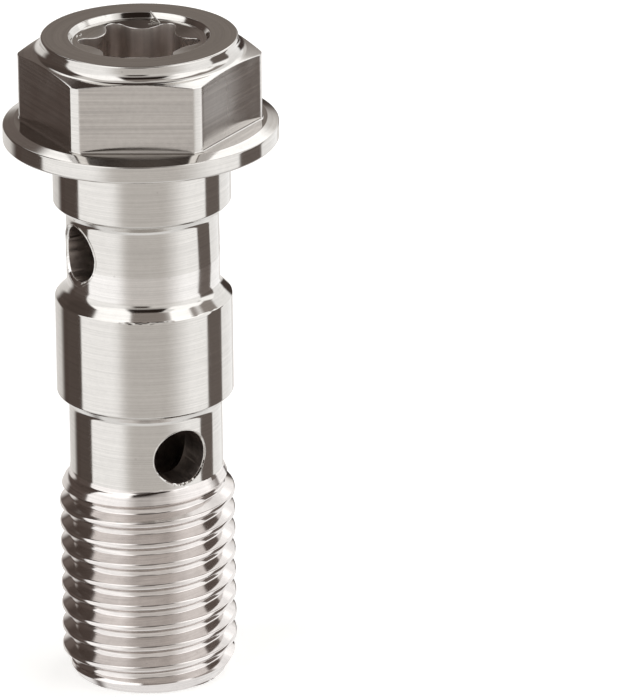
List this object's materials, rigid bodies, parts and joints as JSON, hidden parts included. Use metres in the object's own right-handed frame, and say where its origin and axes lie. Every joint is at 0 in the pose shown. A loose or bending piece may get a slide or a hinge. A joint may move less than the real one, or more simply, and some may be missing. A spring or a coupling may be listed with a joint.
{
  "type": "double banjo bolt",
  "caption": "Flanged hex bolt with a drilled hollow shank that clamps banjo fittings and passes fluid through cross holes.",
  "frame": {"origin": "on the axis at the threaded tip's end face, the lowest point of the standing bolt", "axes": "+Z along the axis from the tip to the head; +X along the upper cross hole and square to a pair of hex flats; +Y along the lower cross hole, through a pair of hex corners"},
  "size_m": [0.0154, 0.0154, 0.0378],
  "materials": {
    "steel": "bright turned stainless steel, polished lands and milled flats"
  },
  "bodies": {
    "root": {"banjo_bolt": "steel"}
  },
  "joints": []
}
